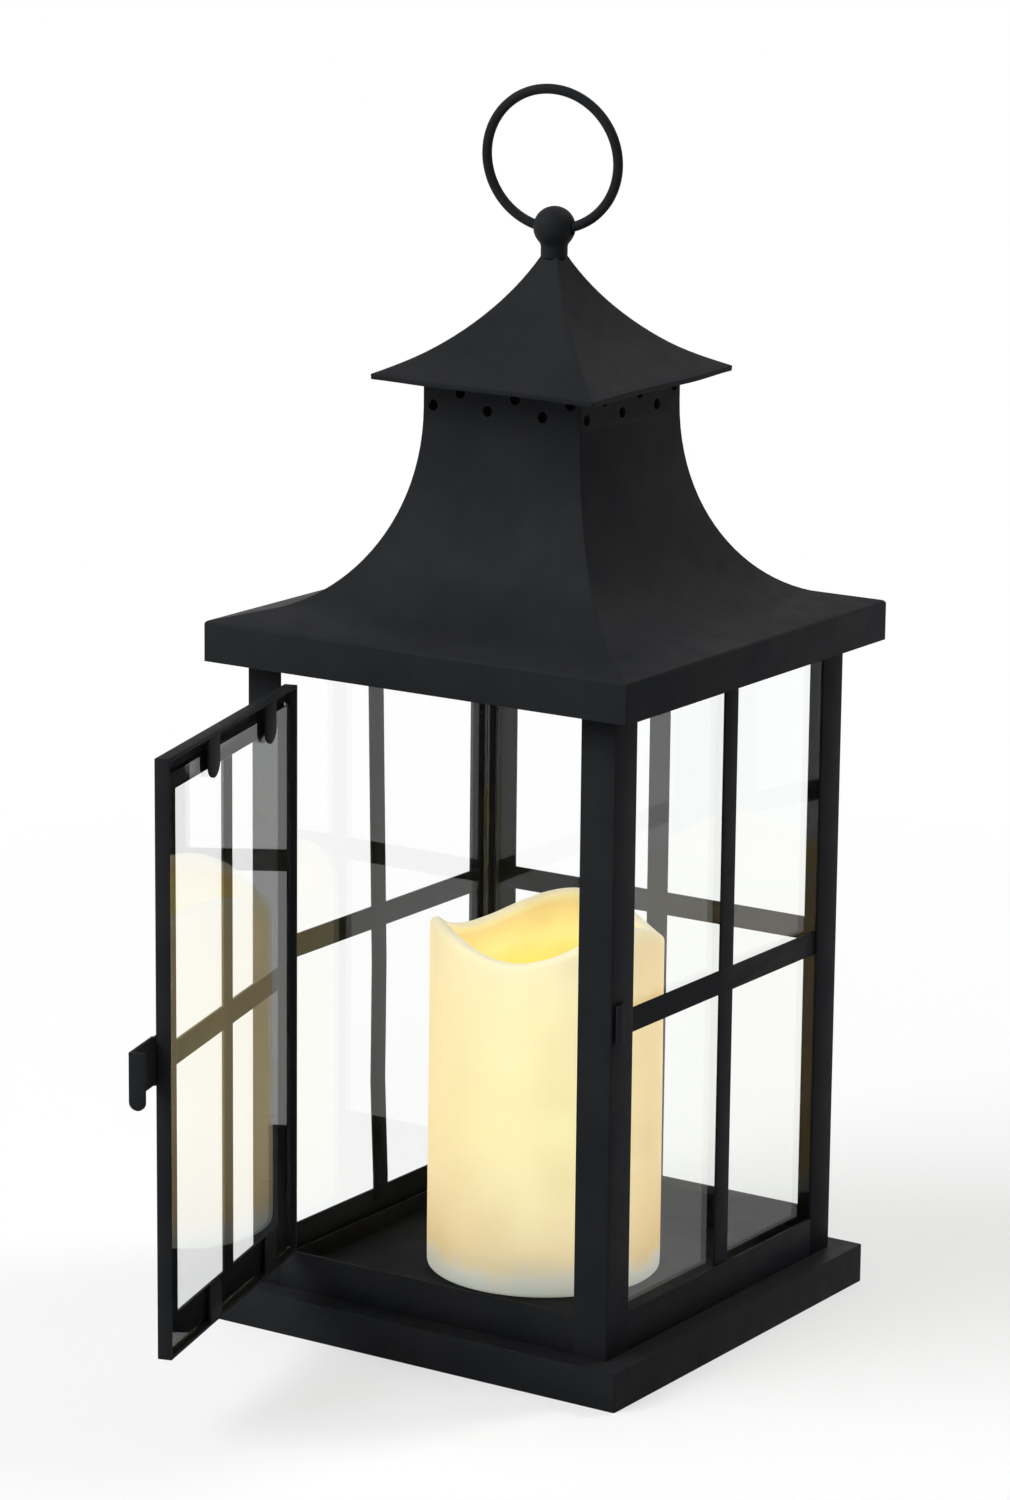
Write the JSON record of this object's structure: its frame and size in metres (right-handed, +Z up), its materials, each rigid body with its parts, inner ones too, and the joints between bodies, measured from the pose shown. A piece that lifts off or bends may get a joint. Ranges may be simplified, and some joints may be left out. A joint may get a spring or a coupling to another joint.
{
  "type": "candle lantern",
  "caption": "Square black metal and glass lantern with a side-hung door, a vented bell roof, a ring handle and a flameless pillar candle inside.",
  "frame": {"origin": "centre of the plinth's underside, on the surface that the lantern stands on", "axes": "+Z up; the door's side of the body faces -Y; +X is to the right seen from the front"},
  "size_m": [0.1554, 0.2697, 0.3936],
  "materials": {
    "black_metal": "satin",
    "clear_glass": "polished",
    "wax": "satin",
    "white_plastic": "matte",
    "dark_plastic": "matte",
    "plain_steel": "satin",
    "cell_sleeve": "satin",
    "board": "satin",
    "lamp_lens": "gloss"
  },
  "bodies": {
    "frame": {"base_tray": "black_metal", "post_front_left": "black_metal", "post_front_right": "black_metal", "post_back_left": "black_metal", "post_back_right": "black_metal", "sill_front": "black_metal", "rail_right": "black_metal", "rail_back": "black_metal", "rail_left": "black_metal", "header_front": "black_metal", "header_right": "black_metal", "header_back": "black_metal", "header_left": "black_metal", "pane_right": "clear_glass", "pane_back": "clear_glass", "pane_left": "clear_glass", "bars_right": "black_metal", "bars_back": "black_metal", "bars_left": "black_metal", "roof_front": "black_metal", "roof_right": "black_metal", "roof_back": "black_metal", "roof_left": "black_metal", "cap_roof": "black_metal", "cap_bridge": "black_metal", "finial_ball": "black_metal", "finial_stud": "plain_steel", "stud_nut": "plain_steel", "post_knuckles": "black_metal", "hinge_pins": "black_metal", "latch_keeper": "black_metal"},
    "door": {"door_frame": "black_metal", "door_glass": "clear_glass", "door_bars": "black_metal", "door_clips": "black_metal", "door_knuckles": "black_metal", "latch_tab": "black_metal"},
    "handle": {"ring_handle": "black_metal"},
    "candle": {"candle_wax": "wax", "battery_case": "white_plastic", "battery_cover": "white_plastic", "cover_screw": "plain_steel", "battery_cells": "cell_sleeve", "battery_contacts": "plain_steel", "lamp_board": "board", "lamp": "lamp_lens", "switch_housing": "white_plastic"},
    "switch": {"switch_slider": "dark_plastic"}
  },
  "joints": [
    {"name": "door_hinge", "type": "hinge", "parent": "frame", "child": "door", "pos_m": [-0.05498, -0.0705, 0], "axis": [0, 0, -1], "range_deg": [-74.3, 105.7]},
    {"name": "ring_pivot", "type": "hinge", "parent": "frame", "child": "handle", "pos_m": [0, 0, 0.34896], "axis": [0.9848, 0.1736, 0], "range_deg": [-140, 127]},
    {"name": "candle_lift", "type": "slide", "parent": "frame", "child": "candle", "axis": [0, 0, 1], "range_m": [0, 0.075]},
    {"name": "power_switch", "type": "slide", "parent": "candle", "child": "switch", "axis": [-1, 0, 0], "range_m": [0, 0.004]}
  ]
}
